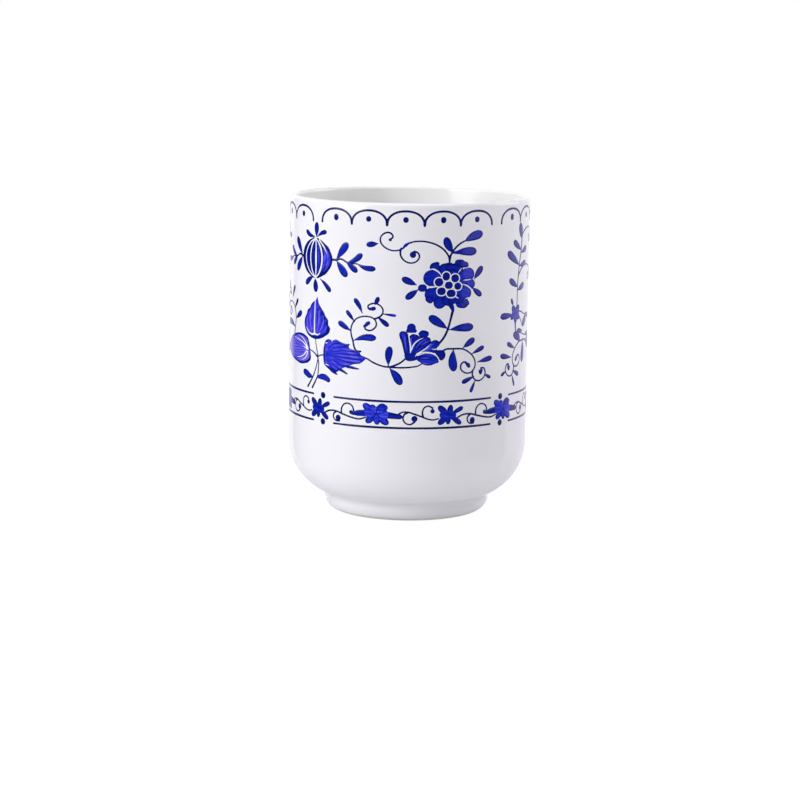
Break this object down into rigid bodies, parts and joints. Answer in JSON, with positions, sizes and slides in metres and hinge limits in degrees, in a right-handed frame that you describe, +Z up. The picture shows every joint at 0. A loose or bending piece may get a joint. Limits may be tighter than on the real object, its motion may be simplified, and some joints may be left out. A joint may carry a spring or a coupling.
{
  "type": "teacup",
  "caption": "Handleless straight-sided porcelain teacup on a foot ring, glazed inside and out, with blue printed flowers, leaves and borders.",
  "frame": {"origin": "on the table, at the centre of the foot ring", "axes": "+Z up along the cup's axis towards the lip; -Y is the front of the pattern; +X to the right seen from the front"},
  "size_m": [0.066, 0.066, 0.087],
  "materials": {
    "fired_clay": "fine unglazed porcelain, matt, bare on the foot ring only",
    "glaze": "glossy clear glaze with a faint cool tone over white porcelain",
    "cobalt_line": "dark cobalt blue line work under gloss",
    "cobalt_fill": "deep cobalt blue fills with darker edges under gloss",
    "cobalt_wash": "lighter cobalt wash with brush streaks and dark outlines under gloss"
  },
  "bodies": {
    "root": {"porcelain_body": "fired_clay", "clear_glaze": "glaze", "foot_well_glaze": "glaze", "scallop_border": "cobalt_line", "border_dots": "cobalt_line", "fruit_sprigs": "cobalt_fill", "leaf_trefoils": "cobalt_wash", "curl_sprigs": "cobalt_line", "peony_branches": "cobalt_fill", "leafy_sprays": "cobalt_fill", "band_rules": "cobalt_line", "band_dots": "cobalt_line", "band_vine": "cobalt_fill"}
  },
  "joints": []
}
